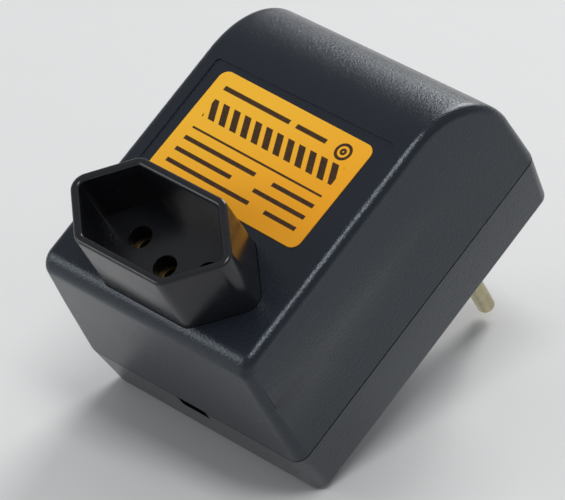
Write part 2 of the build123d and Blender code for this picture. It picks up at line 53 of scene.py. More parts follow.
class Signal:
    # a value socket that can be used in sums
    def __init__(self, maker, socket):
        self.maker = maker
        self.socket = socket

    def worked(self, operation, first, second=None):
        values = {0: first} if second is None else {0: first, 1: second}
        return self.maker.value("ShaderNodeMath", {"operation": operation}, values)

    def __add__(self, other):
        return self.worked("ADD", self, other)

    def __radd__(self, other):
        return self.worked("ADD", other, self)

    def __sub__(self, other):
        return self.worked("SUBTRACT", self, other)

    def __rsub__(self, other):
        return self.worked("SUBTRACT", other, self)

    def __mul__(self, other):
        return self.worked("MULTIPLY", self, other)

    def __rmul__(self, other):
        return self.worked("MULTIPLY", other, self)

    def __abs__(self):
        return self.worked("ABSOLUTE", self)

    def atMost(self, other):
        return self.worked("MINIMUM", self, other)

    def atLeast(self, other):
        return self.worked("MAXIMUM", self, other)

    def sine(self):
        return self.worked("SINE", self)

    def squareRoot(self):
        return self.worked("SQRT", self)

    def step(self, low, high):
        return self.maker.value("ShaderNodeMapRange", {"interpolation_type": "SMOOTHSTEP"},
                                {"Value": self, "From Min": low, "From Max": high})


class NodeMaker:
    # adds nodes to one tree, in materials, the world and Geometry Nodes alike
    def __init__(self, tree):
        self.nodes = tree.nodes
        self.links = tree.links

    def connect(self, socket, given):
        if isinstance(given, Signal):
            self.links.new(given.socket, socket)
        else:
            socket.default_value = given

    def value(self, kind, settings, sockets, output=0):
        node = self.nodes.new(kind)
        for key, setting in settings.items():
            setattr(node, key, setting)
        for key, given in sockets.items():
            self.connect(node.inputs[key], given)
        return Signal(self, node.outputs[output])


def opaque(colour):
    return (*colour, 1.0)


class Finish(NodeMaker):
    # one material with its Principled shader
    def __init__(self, name, colour, roughness, metallic=0.0, **constants):
        self.material = bpy.data.materials.new(name)
        self.material.use_nodes = True
        super().__init__(self.material.node_tree)
        self.shader = self.nodes["Principled BSDF"]
        self.set("Base Color", opaque(colour))
        self.set("Roughness", roughness)
        self.set("Metallic", metallic)
        for socketName, number in constants.items():
            self.set(socketName.replace("_", " "), number)
        self.place = self.value("ShaderNodeTexCoord", {}, {}, "Object")

    def set(self, socketName, given):
        self.connect(self.shader.inputs[socketName], given)

    def noise(self, size, detail, roughness):
        return self.value("ShaderNodeTexNoise", {},
                          {"Vector": self.place, "Scale": 1 / size,
                           "Detail": detail, "Roughness": roughness})

    def cells(self, size):
        return self.value("ShaderNodeTexVoronoi", {"feature": "F1"},
                          {"Vector": self.place, "Scale": 1 / size})

    def axes(self, place=None):
        return [self.value("ShaderNodeSeparateXYZ", {}, {0: place or self.place}, axis)
                for axis in range(3)]

    def blend(self, share, first, second):
        return self.value("ShaderNodeMix", {"data_type": "RGBA"},
                          {0: share, 6: first, 7: second}, 2)

    def relief(self, height, distance):
        self.set("Normal", self.value("ShaderNodeBump", {},
                                      {"Height": height, "Distance": distance}))


print("finishes")

# a noise is given as its size, detail and roughness, and steps as where they start and end
casePlasticLook = {
    "colour": (0.0105, 0.0135, 0.0195),
    "worn": (0.024, 0.028, 0.036),
    "wornSteps": (0.62, 0.78),
    "wornShare": 0.35,
    "tint": (0.82, 0.92, 1.0, 1.0),
    "roughness": 0.25,
    "roughnessSpread": 0.14,
    "sparkGrain": 0.55 * mm,
    "sparkShare": 0.6,
    "fineGrain": (0.26 * mm, 2.0, 0.6),
    "fineShare": 0.7,
    "grainHeight": 0.060 * mm,
    "mottle": (14 * mm, 4.0, 0.55),
}


def makeCasePlastic():
    look = casePlasticLook
    finish = Finish("sparkGrainedPlastic", look["colour"], look["roughness"],
                    Specular_Tint=look["tint"])
    spark = finish.cells(look["sparkGrain"])
    fine = finish.noise(*look["fineGrain"])
    mottle = finish.noise(*look["mottle"])
    finish.relief(spark * look["sparkShare"] + fine * look["fineShare"], look["grainHeight"])
    finish.set("Roughness", look["roughness"]
               + (mottle - noiseMiddle) * look["roughnessSpread"]
               + (fine - noiseMiddle) * look["roughnessSpread"])
    worn = fine.step(*look["wornSteps"]) * look["wornShare"]
    finish.set("Base Color", finish.blend(worn, opaque(look["colour"]), opaque(look["worn"])))
    return finish


socketPlasticLook = {
    "colour": (0.0085, 0.009, 0.0115),
    "dusty": (0.022, 0.023, 0.026),
    "dustSteps": (0.66, 0.8),
    "dustShare": 0.3,
    "roughness": 0.21,
    "mottle": (6 * mm, 4.0, 0.6),
    "mottleSpread": 0.16,
    "grain": (0.5 * mm, 3.0, 0.6),
    "grainHeight": 0.004 * mm,
    "scuffSteps": (0.6, 0.8),
    "scuffSpread": 0.12,
}


def makeSocketPlastic():
    look = socketPlasticLook
    finish = Finish("polishedBlackPlastic", look["colour"], look["roughness"])
    fine = finish.noise(*look["grain"])
    mottle = finish.noise(*look["mottle"])
    finish.relief(fine, look["grainHeight"])
    finish.set("Roughness", look["roughness"] + (mottle - noiseMiddle) * look["mottleSpread"]
               + fine.step(*look["scuffSteps"]) * look["scuffSpread"])
    dust = fine.step(*look["dustSteps"]) * look["dustShare"]
    finish.set("Base Color", finish.blend(dust, opaque(look["colour"]), opaque(look["dusty"])))
    return finish


labelLook = {
    "bright": (0.97, 0.51, 0.030),
    "deep": (0.93, 0.39, 0.010),
    "gloss": 0.32,
    "ink": (0.030, 0.014, 0.008),
    "roughness": 0.42,
    "inkRoughness": 0.34,
    "turn": math.radians(1.4),   # stuck on a little crooked
    "edge": 0.16 * mm,           # soft edge of the print
    # painted light and shade: the flat sheet is paler towards the upper left and deeper orange
    # towards the lower right
    "paintedShadeAcross": 18.0,          # how fast the painted shade deepens the orange, per metre
    "paintedShadeUp": 26.0,
    "paintedShadeMiddle": 0.5,
    "fibre": (0.4 * mm, 3.0, 0.6),
    "fibreSteps": (0.45, 0.8),
    "fibreShare": 0.12,
    "fibreSpread": 0.08,         # on the roughness
    "fibreHeight": 0.3,          # over the ink's height
    "inkHeight": 0.006 * mm,
    "inkCover": 0.9,
    "inkFibre": 0.15,
    "facing": (0.4, 0.6),        # the print stays on the front of the sheet
    "bars": [                    # across, up, half width and half height in mm
        (-9.0, 9.8, 9.4, 0.55),
        (6.5, 9.8, 4.2, 0.55),
        (0.0, -0.9, 18.4, 0.25),
        (-8.2, -3.6, 10.2, 0.5),
        (12.6, -3.6, 5.8, 0.5),
        (-10.4, -6.6, 8.0, 0.5),
        (11.2, -6.6, 7.2, 0.5),
        (-6.6, -9.6, 11.8, 0.5),
        (14.0, -9.6, 4.4, 0.5),
    ],
    "stripes": {"area": (0.0, 4.4, 18.4, 2.3), "period": 3.1, "slant": 0.5,
                "dark": 0.25, "soft": 0.15},
    "rings": [(15.6, 9.6, 1.7, 0.35), (15.6, 9.6, 0.5, 0.3)],  # across, up, radius, half line
}


def makeLabelFilm():
    look = labelLook
    finish = Finish("orangeLabelFilm", look["bright"], look["roughness"],
                    Specular_IOR_Level=look["gloss"])
    low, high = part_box("rating_label")
    turned = finish.value("ShaderNodeMapping", {"vector_type": "TEXTURE"},
                          {"Vector": finish.place, "Location": (low + high) / 2,
                           "Rotation": (0, look["turn"], 0)})
    across, depth, up = finish.axes(turned)

    def printed(inside):
        # inside is how far a point lies within the edge of a mark
        return inside.step(-look["edge"] / 2, look["edge"] / 2)

    def bar(x, z, halfWidth, halfHeight):
        return printed((halfWidth * mm - abs(across - x * mm)).atMost(
            halfHeight * mm - abs(up - z * mm)))

    marks = [bar(*given) for given in look["bars"]]
    band = look["stripes"]
    wave = ((across + up * band["slant"]) * (2 * math.pi / (band["period"] * mm))).sine()
    dark = wave.step(-band["dark"] - band["soft"], -band["dark"] + band["soft"])
    marks.append(bar(*band["area"]) * dark)
    for x, z, radius, line in look["rings"]:
        away = ((across - x * mm) * (across - x * mm)
                + (up - z * mm) * (up - z * mm)).squareRoot()
        marks.append(printed(line * mm - abs(away - radius * mm)))
    ink = marks[0]
    for mark in marks[1:]:
        ink = ink.atLeast(mark)

    # painted light and shade: paler orange towards the upper left, deeper towards the lower
    # right
    paintedShadeShare = (across * look["paintedShadeAcross"] - up * look["paintedShadeUp"]
              + look["paintedShadeMiddle"]).step(0.0, 1.0)
    fibre = finish.noise(*look["fibre"])
    paper = finish.blend(paintedShadeShare, opaque(look["bright"]), opaque(look["deep"]))
    paper = finish.blend(fibre.step(*look["fibreSteps"]) * look["fibreShare"], paper,
                         opaque(look["deep"]))
    normal = finish.value("ShaderNodeNewGeometry", {}, {}, "Normal")
    ink = ink * (finish.axes(normal)[1] * -1.0).step(*look["facing"])
    ink = ink * (look["inkCover"] + fibre * look["inkFibre"]).atMost(1.0)
    finish.set("Base Color", finish.blend(ink, paper, opaque(look["ink"])))
    finish.set("Roughness", look["roughness"] + ink * (look["inkRoughness"] - look["roughness"])
               + (fibre - noiseMiddle) * look["fibreSpread"])
    finish.relief(fibre * look["fibreHeight"] + ink, look["inkHeight"])
    return finish


brassLook = {
    "colour": (0.50, 0.455, 0.30),
    "dull": (0.42, 0.38, 0.24),
    # painted shade: the contacts' brass is darkened to the shade deep in the socket's holes
    "contactShadedColour": (0.20, 0.14, 0.06),
    "contactShadedDull": (0.12, 0.08, 0.035),
    "roughness": 0.42,
    "tarnish": (2.4 * mm, 5.0, 0.65),
    "tarnishSteps": (0.4, 0.7),
    "tarnishSpread": 0.2,        # on the roughness
    "scratches": (0.22 * mm, 3.0, 0.6),
    "scratchSpread": 0.12,
    "turning": 0.22 * mm,        # pitch of the tool's marks
    "turningShare": 0.4,         # over the scratches' height
    "height": 0.004 * mm,
}


def makeBrass(name, colour, dull):
    look = brassLook
    finish = Finish(name, colour, look["roughness"], 1.0)
    across, along, up = finish.axes()
    rings = (along * (2 * math.pi / look["turning"])).sine()
    tarnish = finish.noise(*look["tarnish"])
    scratches = finish.noise(*look["scratches"])
    finish.set("Base Color", finish.blend(tarnish.step(*look["tarnishSteps"]),
                                          opaque(colour), opaque(dull)))
    finish.set("Roughness", look["roughness"]
               + (tarnish - look["tarnishSteps"][0]) * look["tarnishSpread"]
               + (scratches - noiseMiddle) * look["scratchSpread"])
    finish.relief(rings * look["turningShare"] + scratches, look["height"])
    return finish


# slot: name, colour, second colour, roughness, metallic, grain in mm, grain height in mm
plainLooks = {
    "board_brown": ("pressedBoard", (0.16, 0.075, 0.035), (0.24, 0.12, 0.06),
                    0.55, 0.0, 0.8, 0.02),
    "core_steel": ("laminatedSteel", (0.20, 0.20, 0.21), (0.10, 0.10, 0.12),
                   0.38, 1.0, 1.4, 0.01),
    "bobbin_nylon": ("bobbinNylon", (0.62, 0.60, 0.53), (0.52, 0.50, 0.43),
                     0.45, 0.0, 1.0, 0.01),
    "winding_tape": ("windingTape", (0.62, 0.50, 0.16), (0.50, 0.38, 0.10),
                     0.30, 0.0, 1.6, 0.02),
    "zinc_steel": ("zincScrew", (0.52, 0.53, 0.54), (0.34, 0.35, 0.36),
                   0.30, 1.0, 0.5, 0.005),
    "fibre_washer": ("fibreWasher", (0.30, 0.06, 0.03), (0.20, 0.04, 0.02),
                     0.62, 0.0, 0.4, 0.02),
    "tinned_wire": ("tinnedWire", (0.60, 0.60, 0.61), (0.44, 0.44, 0.46),
                    0.28, 1.0, 0.4, 0.005),
    "fuse_case": ("fuseCase", (0.55, 0.53, 0.48), (0.42, 0.40, 0.36),
                  0.42, 0.0, 0.8, 0.01),
    "wire_black": ("blackLead", (0.018, 0.018, 0.019), (0.03, 0.03, 0.03),
                   0.38, 0.0, 0.6, 0.008),
    "wire_blue": ("blueLead", (0.02, 0.08, 0.30), (0.015, 0.06, 0.22),
                  0.38, 0.0, 0.6, 0.008),
    "wire_red": ("redLead", (0.38, 0.02, 0.015), (0.28, 0.015, 0.01),
                 0.38, 0.0, 0.6, 0.008),
    "wire_green": ("greenLead", (0.02, 0.20, 0.05), (0.015, 0.14, 0.04),
                   0.38, 0.0, 0.6, 0.008),
    "sleeve_black": ("shrinkSleeve", (0.022, 0.022, 0.022), (0.035, 0.035, 0.035),
                     0.5, 0.0, 0.7, 0.01),
}
plainGrain = {
    "fine": (4.0, 0.6),          # detail and roughness of the grain's noise
    "patches": (3.0, 0.5),
    "patchSize": 9,              # over the grain's size
    "patchSteps": (0.35, 0.7),
    "roughnessSpread": 0.2,
}


def makePlain(slotName):
    name, colour, second, roughness, metallic, grain, height = plainLooks[slotName]
    look = plainGrain
    finish = Finish(name, colour, roughness, metallic)
    fine = finish.noise(grain * mm, *look["fine"])
    patches = finish.noise(grain * look["patchSize"] * mm, *look["patches"])
    finish.set("Base Color", finish.blend(patches.step(*look["patchSteps"]),
                                          opaque(colour), opaque(second)))
    finish.set("Roughness", roughness + (fine - noiseMiddle) * look["roughnessSpread"])
    finish.relief(fine, height * mm)
    return finish


windingLook = {
    "colour": (0.50, 0.16, 0.05),
    "shaded": (0.20, 0.055, 0.018),
    "shadedSteps": (0.05, 0.55),
    "roughness": 0.26,
    "grooveRoughness": 0.25,     # added between the turns
    "pitch": 0.45 * mm,
    "turnHeight": 0.06 * mm,
    "wander": (6 * mm, 2.0, 0.5),
    "wanderShare": 0.5,          # of the pitch
}


def makeWindingCopper():
    look = windingLook
    finish = Finish("enamelledTurns", look["colour"], look["roughness"], 1.0)
    across, depth, up = finish.axes()
    wander = finish.noise(*look["wander"]) - noiseMiddle
    lay = (up + wander * (look["pitch"] * look["wanderShare"])) * (math.pi / look["pitch"])
    turns = abs(lay.sine())
    finish.set("Base Color", finish.blend(turns.step(*look["shadedSteps"]),
                                          opaque(look["shaded"]), opaque(look["colour"])))
    finish.set("Roughness", look["roughness"] + (1 - turns) * look["grooveRoughness"])
    finish.relief(turns, look["turnHeight"])
    return finish


finishes = {slotName: makePlain(slotName) for slotName in plainLooks}
finishes["enamelled_copper"] = makeWindingCopper()
finishes["case_plastic"] = makeCasePlastic()
finishes["socket_plastic"] = makeSocketPlastic()
finishes["label_film"] = makeLabelFilm()
finishes["pin_brass"] = makeBrass("turnedPinBrass", brassLook["colour"], brassLook["dull"])
# the contacts get the darkened brass, painted shade of the socket's holes
finishes["contact_brass"] = makeBrass("contactBrassPaintedShade", brassLook["contactShadedColour"],
                                      brassLook["contactShadedDull"])

print("CAD nodes")
nodeSlots = {entry["node"]: entry["material_slot"] for entry in frame["record"]["subparts"]}


def dress(obj, slotName):
    obj.data.materials.clear()
    obj.data.materials.append(finishes[slotName].material)


def addObject(name, data):
    obj = bpy.data.objects.new(name, data)
    bpy.context.scene.collection.objects.link(obj)
    return obj


def meshOf(form, name):
    mesh = bpy.data.meshes.new(name)
    form.to_mesh(mesh)
    form.free()
    return mesh


def settle(obj, node, slotName):
    # puts a finished piece in the place of its CAD node
    dress(obj, slotName)
    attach(obj, root)
    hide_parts(node)


for node, obj in frame["nodes"].items():
    dress(obj, nodeSlots[node])

print("softened shells")
shellEdges = {
    "mergeWithin": 0.002 * mm,
    "flatWithin": math.radians(0.4),
    "sharpOver": math.radians(28),
    "steps": 2,
    "skins": {                   # node: name of its copy, width of the softened edge
        "front_shell": ("frontShellSkin", 0.22 * mm),
        "rear_cover": ("rearCoverSkin", 0.18 * mm),
        "socket_body": ("socketCollar", 0.12 * mm),
        "rating_label": ("labelSheet", 0.05 * mm),
    },
}


def softenedCopy(node):
    look = shellEdges
    name, width = look["skins"][node]
    mesh = frame["nodes"][node].data.copy()
    mesh.name = name
    form = bmesh.new()
    form.from_mesh(mesh)
    bmesh.ops.remove_doubles(form, verts=form.verts, dist=look["mergeWithin"])
    bmesh.ops.dissolve_limit(form, angle_limit=look["flatWithin"], verts=form.verts,
                             edges=form.edges, delimit={"NORMAL"})
    for face in form.faces:
        face.smooth = True
    form.to_mesh(mesh)
    form.free()
    mesh.set_sharp_from_angle(angle=look["sharpOver"])
    obj = addObject(name, mesh)
    soften = obj.modifiers.new("softEdges", "BEVEL")
    soften.width = width
    soften.segments = look["steps"]
    soften.limit_method = "ANGLE"
    soften.angle_limit = look["sharpOver"]
    soften.use_clamp_overlap = True
    soften.harden_normals = True
    settle(obj, node, nodeSlots[node])


for node in shellEdges["skins"]:
    softenedCopy(node)

print("turned pins")
plugPin = {
    "radius": 2.0 * mm,
    "tipRound": 1.7 * mm,
    "rootRadius": 2.3 * mm,
    "rootStart": -8.0 * mm,
    "headRadius": 3.2 * mm,
    "headStart": -9.4 * mm,
    "tailRadius": 1.0 * mm,
    "edge": 0.15 * mm,
    "sides": 64,
    "tipSteps": 10,
}


def lathe(profile, sides):
    # turns (radius, height) points round +Z; a point on the axis closes that end
    form = bmesh.new()
    rows = []
    angles = [2 * math.pi * number / sides for number in range(sides)]
    for radius, height in profile:
        if radius == 0:
            rows.append([form.verts.new((0, 0, height))] * sides)
        else:
            rows.append([form.verts.new((radius * math.cos(a), radius * math.sin(a), height))
                         for a in angles])
    for lower, upper in zip(rows, rows[1:]):
        for number in range(sides):
            after = (number + 1) % sides
            corners = [lower[number], lower[after], upper[after], upper[number]]
            form.faces.new(list(dict.fromkeys(corners)))
    for face in form.faces:
        face.smooth = True
    bmesh.ops.recalc_face_normals(form, faces=form.faces)
    return form


def eased(radius, height, edge):
    # a small chamfer at a lower outer edge
    return [(radius - edge, height), (radius, height + edge)]


def makePin(node, name):
    look = plugPin
    low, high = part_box(node)
    edge = look["edge"]
    profile = [(0, low.y), *eased(look["tailRadius"], low.y, edge),
               (look["tailRadius"], look["headStart"]),
               *eased(look["headRadius"], look["headStart"], edge),
               (look["headRadius"], look["rootStart"] - edge),
               (look["headRadius"] - edge, look["rootStart"]),
               (look["rootRadius"], look["rootStart"]), (look["rootRadius"], -edge),
               (look["rootRadius"] - edge, 0), (look["radius"], 0)]
    tip = high.y - look["tipRound"]
    for number in range(look["tipSteps"] + 1):
        angle = math.pi / 2 * number / look["tipSteps"]
        profile.append((look["radius"] - look["tipRound"] * (1 - math.cos(angle)),
                        tip + look["tipRound"] * math.sin(angle)))
    profile.append((0, high.y))
    form = lathe(profile, look["sides"])
    middle = (low + high) / 2
    # the lathe's +Z becomes +Y of the part
    form.transform(Matrix.Translation((middle.x, 0, middle.z))
                   @ Matrix.Rotation(-math.pi / 2, 4, "X"))
    mesh = meshOf(form, name)
    mesh.set_sharp_from_angle(angle=shellEdges["sharpOver"])
    settle(addObject(name, mesh), node, "pin_brass")


makePin("plug_pin_left", "leftPlugPin")
makePin("plug_pin_right", "rightPlugPin")
makePin("plug_pin_earth", "earthPlugPin")

print("screws")
largeScrew = {"head": 2.7 * mm, "headHeight": 2.0 * mm, "shank": 1.45 * mm, "pitch": 1.1 * mm}
smallScrew = {"head": 1.9 * mm, "headHeight": 1.4 * mm, "shank": 1.1 * mm, "pitch": 0.8 * mm}
# node: name of the set, its screw, and the way along Y that the points look
screwSets = {
    "case_screws": ("caseScrewSet", largeScrew, -1),
    "core_screws": ("coreScrewSet", largeScrew, 1),
    "socket_screws": ("socketScrewSet", smallScrew, -1),
    "contact_plate_screws": ("plateScrewPair", smallScrew, -1),
    "retainer_screws": ("retainerScrewPair", smallScrew, 1),
}
screwLook = {
    "sides": 40,
    "threadShare": 0.84,      # core of the thread over its outside
    "threadSteps": 20,        # in a turn
    "threadSides": 3,
    "tipShare": 1.6,          # length of the point over the shank's radius
    "bluntRadius": 0.25,      # end of the point, over the core's radius
    "bluntLength": 0.2,
    "neckShare": 0.6,         # plain length under the head over the shank's radius
    "rimShare": 0.3,          # straight part of the head over its height
    "topShare": 0.45,         # flat top of the head over its radius
    "domeSteps": 6,
    "crossLength": 1.18,      # cross recess, over the head's radius
    "crossWidth": 0.28,
    "crossDepth": 0.50,       # over the head's height
    "crossTurn": math.radians(35),
}


class Repeat(NodeMaker):
    # a Geometry Nodes tree: named sizes in, realized geometry with its material out
    def __init__(self, name, sizes):
        self.tree = bpy.data.node_groups.new(name, "GeometryNodeTree")
        super().__init__(self.tree)
        faces = self.tree.interface
        faces.new_socket("Geometry", in_out="INPUT", socket_type="NodeSocketGeometry")
        for sizeName, number in sizes.items():
            kind = "NodeSocketInt" if isinstance(number, int) else "NodeSocketFloat"
            faces.new_socket(sizeName, in_out="INPUT", socket_type=kind)
        faces.new_socket("Geometry", in_out="OUTPUT", socket_type="NodeSocketGeometry")
        self.sizes = sizes
        self.given = self.nodes.new("NodeGroupInput")
        self.result = self.nodes.new("NodeGroupOutput")
        self.blank = Signal(self, self.given.outputs["Geometry"])

    def size(self, name):
        return Signal(self, self.given.outputs[name])

    def vector(self, x, y, z):
        return self.value("ShaderNodeCombineXYZ", {}, {0: x, 1: y, 2: z})

    def moved(self, geometry, place, turn=(0, 0, 0)):
        return self.value("GeometryNodeTransform", {},
                          {"Geometry": geometry, "Translation": place, "Rotation": turn})

    def joined(self, pieces):
        node = self.nodes.new("GeometryNodeJoinGeometry")
        for piece in reversed(pieces):
            self.links.new(piece.socket, node.inputs[0])
        return Signal(self, node.outputs[0])

    def copies(self, points, piece, turn=(0, 0, 0)):
        return self.value("GeometryNodeInstanceOnPoints", {},
                          {"Points": points, "Instance": piece, "Rotation": turn})

    def finish(self, geometry, slotName):
        whole = self.value("GeometryNodeRealizeInstances", {}, {"Geometry": geometry})
        coated = self.value("GeometryNodeSetMaterial", {},
                            {"Geometry": whole, "Material": finishes[slotName].material})
        self.links.new(coated.socket, self.result.inputs[0])

    def build(self, form, name, node, slotName):
        holder = addObject(name, meshOf(form, name))
        modifier = holder.modifiers.new(name, "NODES")
        modifier.node_group = self.tree
        for item in self.tree.interface.items_tree:
            if item.in_out == "INPUT" and item.name in self.sizes:
                modifier[item.identifier] = self.sizes[item.name]
        state = bpy.context.evaluated_depsgraph_get()
        result = bpy.data.meshes.new_from_object(holder.evaluated_get(state))
        holder.modifiers.remove(modifier)
        holder.data = result
        result.name = name
        settle(holder, node, slotName)


def screwBlank(head, headHeight, shank, length):
    # head above zero height, core of the thread below it
    look = screwLook
    core = shank * look["threadShare"]
    neck = -shank * look["neckShare"]
    rim, top = look["rimShare"], look["topShare"]
    profile = [(0, -length), (core * look["bluntRadius"], -length + core * look["bluntLength"]),
               (core, -length + core * look["tipShare"]), (core, neck), (shank, neck),
               (shank, 0), (head, 0), (head, headHeight * rim)]
    for number in range(1, look["domeSteps"] + 1):
        angle = math.pi / 2 * number / look["domeSteps"]
        profile.append((head * (top + (1 - top) * math.cos(angle)),
                        headHeight * (rim + (1 - rim) * math.sin(angle))))
    profile.append((0, headHeight))
    return lathe(profile, look["sides"])


def makeScrews(node):
    name, given, towards = screwSets[node]
    look = screwLook
    head, headHeight, shank = given["head"], given["headHeight"], given["shank"]
    low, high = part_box(node)
    middle = (low + high) / 2
    length = high.y - low.y - headHeight
    seat = high.y - headHeight if towards < 0 else low.y + headHeight
    apart = [high.x - low.x - 2 * head, high.z - low.z - 2 * head]
    turns = (length - shank * (look["tipShare"] + look["neckShare"])) / given["pitch"]
    tree = Repeat(name + "Tree", {
        "Apart Across": apart[0], "Apart Up": max(apart[1], 0.0),
        "Rows": 1 if apart[1] < head else 2,
        "Turns": turns, "Pitch": given["pitch"],
        "Thread Radius": shank * look["threadShare"],
        "Thread Depth": shank * (1 - look["threadShare"]),
        "Thread Start": -length + shank * look["tipShare"],
        "Cross Length": head * look["crossLength"], "Cross Width": head * look["crossWidth"],
        "Cross Depth": headHeight * look["crossDepth"], "Head Height": headHeight})
    arms = [tree.value("GeometryNodeMeshCube", {}, {"Size": tree.vector(
                tree.size(x), tree.size(y), tree.size("Cross Depth") * 2)})
            for x, y in (("Cross Length", "Cross Width"), ("Cross Width", "Cross Length"))]
    recess = tree.moved(tree.joined(arms), tree.vector(0, 0, tree.size("Head Height")),
                        (0, 0, look["crossTurn"]))
    body = tree.value("GeometryNodeMeshBoolean", {"operation": "DIFFERENCE", "solver": "EXACT"},
                      {0: tree.blank, 1: recess, "Self Intersection": True})
    spiral = tree.value("GeometryNodeCurveSpiral", {}, {
        "Resolution": look["threadSteps"], "Rotations": tree.size("Turns"),
        "Start Radius": tree.size("Thread Radius"), "End Radius": tree.size("Thread Radius"),
        "Height": tree.size("Turns") * tree.size("Pitch")})
    ridge = tree.value("GeometryNodeCurvePrimitiveCircle", {}, {
        "Resolution": look["threadSides"], "Radius": tree.size("Thread Depth")})
    thread = tree.value("GeometryNodeCurveToMesh", {}, {
        "Curve": spiral, "Profile Curve": ridge, "Fill Caps": True})
    thread = tree.moved(thread, tree.vector(0, 0, tree.size("Thread Start")))
    places = tree.value("GeometryNodeMeshGrid", {}, {
        "Size X": tree.size("Apart Across"), "Size Y": tree.size("Apart Up"),
        "Vertices X": 2, "Vertices Y": tree.size("Rows")})
    places = tree.moved(places, (middle.x, seat, middle.z), (math.pi / 2, 0, 0))
    turn = (towards * math.pi / 2, 0, 0)
    tree.finish(tree.copies(places, tree.joined([body, thread]), turn), "zinc_steel")
    tree.build(screwBlank(head, headHeight, shank, length), name, node, "zinc_steel")


for node in screwSets:
    makeScrews(node)

print("core laminations")
coreSheets = {
    "sheet": 0.5 * mm,
    "gap": 0.04 * mm,
    "slip": 0.06 * mm,        # how far a sheet can stand back from the next
    "holeRadius": 1.65 * mm,
    "holeSides": 20,
    "mergeWithin": 0.001 * mm,
    "seed": 7,
}


def outlineForm(loops):
    # closed loops of edges in the XY plane
    form = bmesh.new()
    for loop in loops:
        corners = [form.verts.new((x, y, 0)) for x, y in loop]
        for number, corner in enumerate(corners):
            form.edges.new((corner, corners[(number + 1) % len(corners)]))
    return form


def holeLoop(x, y):
    radius, sides = coreSheets["holeRadius"], coreSheets["holeSides"]
    return [(x + radius * math.cos(2 * math.pi * number / sides),
             y + radius * math.sin(2 * math.pi * number / sides)) for number in range(sides)]


def makeSheets(node, name, loops, seed):
    look = coreSheets
    low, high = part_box(node)
    count = int((high.y - low.y) / look["sheet"])
    pitch = (high.y - low.y) / count
    tree = Repeat(name + "Tree", {"Sheets": count, "Pitch": pitch,
                                  "Thickness": pitch - look["gap"],
                                  "Slip": look["slip"], "Seed": seed})
    curve = tree.value("GeometryNodeMeshToCurve", {}, {0: tree.blank})
    face = tree.value("GeometryNodeFillCurve", {}, {0: curve})
    raised = tree.value("GeometryNodeExtrudeMesh", {}, {
        "Mesh": face, "Offset": tree.vector(0, 0, 1), "Offset Scale": tree.size("Thickness"),
        "Individual": False})
    under = tree.value("GeometryNodeFlipFaces", {}, {"Mesh": face})
    sheet = tree.value("GeometryNodeMergeByDistance", {}, {
        "Geometry": tree.joined([raised, under]), "Distance": look["mergeWithin"]})
    points = tree.value("GeometryNodeMeshLine", {}, {
        "Count": tree.size("Sheets"), "Offset": tree.vector(0, 0, tree.size("Pitch"))})
    slipped = tree.value("FunctionNodeRandomValue", {"data_type": "FLOAT_VECTOR"}, {
        0: (-1.0, -1.0, 0.0), 1: (1.0, 1.0, 0.0), "Seed": tree.size("Seed")})
    offset = tree.value("ShaderNodeVectorMath", {"operation": "SCALE"},
                        {0: slipped, "Scale": tree.size("Slip")})
    points = tree.value("GeometryNodeSetPosition", {}, {"Geometry": points, "Offset": offset})
    stack = tree.moved(tree.copies(points, sheet), (0, high.y, 0), (math.pi / 2, 0, 0))
    tree.finish(stack, "core_steel")
    tree.build(outlineForm(loops), name, node, "core_steel")


def coreLoops():
    # outlines of an E sheet and an I sheet with their screw holes, each set back by the slip
    slip = coreSheets["slip"]
    eLow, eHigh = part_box("core_e_stack")
    iLow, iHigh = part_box("core_i_stack")
    limb = iHigh.z - iLow.z
    half = eHigh.x
    windowIn, windowOut = limb, half - limb
    top, foot, sill = eHigh.z - slip, eLow.z + slip, eLow.z + limb
    eShape = [(-half + slip, foot), (half - slip, foot), (half - slip, top), (windowOut, top),
              (windowOut, sill), (windowIn, sill), (windowIn, top), (-windowIn, top),
              (-windowIn, sill), (-windowOut, sill), (-windowOut, top), (-half + slip, top)]
    iShape = [(-half + slip, iLow.z + slip), (half - slip, iLow.z + slip),
              (half - slip, iHigh.z - slip), (-half + slip, iHigh.z - slip)]
    holeAcross = half - limb / 2
    eHoles = [holeLoop(x, eLow.z + limb / 2) for x in (-holeAcross, holeAcross)]
    iHoles = [holeLoop(x, iHigh.z - limb / 2) for x in (-holeAcross, holeAcross)]
    return [eShape, *eHoles], [iShape, *iHoles]


eLoops, iLoops = coreLoops()
makeSheets("core_e_stack", "coreSheetsE", eLoops, coreSheets["seed"])
makeSheets("core_i_stack", "coreSheetsI", iLoops, coreSheets["seed"] + 1)

print("terminal posts")
terminalPosts = {"radius": 0.5 * mm, "edge": 0.12 * mm, "sides": 20, "posts": 4}


def makeTerminals():
    look = terminalPosts
    radius, edge = look["radius"], look["edge"]
    low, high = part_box("bobbin_terminals")
    length = high.z - low.z
    spacing = (high.x - low.x - 2 * radius) / (look["posts"] - 1)
    profile = [(0, 0), *eased(radius, 0, edge), (radius, length - edge),
               (radius - edge, length), (0, length)]
    tree = Repeat("terminalPostsTree", {"Posts": look["posts"], "Spacing": spacing})
    points = tree.value("GeometryNodeMeshLine", {}, {
        "Count": tree.size("Posts"), "Offset": tree.vector(tree.size("Spacing"), 0, 0)})
    points = tree.moved(points, (low.x + radius, (low.y + high.y) / 2, low.z))
    tree.finish(tree.copies(points, tree.blank), "tinned_wire")
    tree.build(lathe(profile, look["sides"]), "terminalPosts", "bobbin_terminals",
               "tinned_wire")


makeTerminals()

print("washers")
fibreWashers = {"radius": 3.5 * mm, "hole": 1.65 * mm, "edge": 0.08 * mm, "sides": 40}


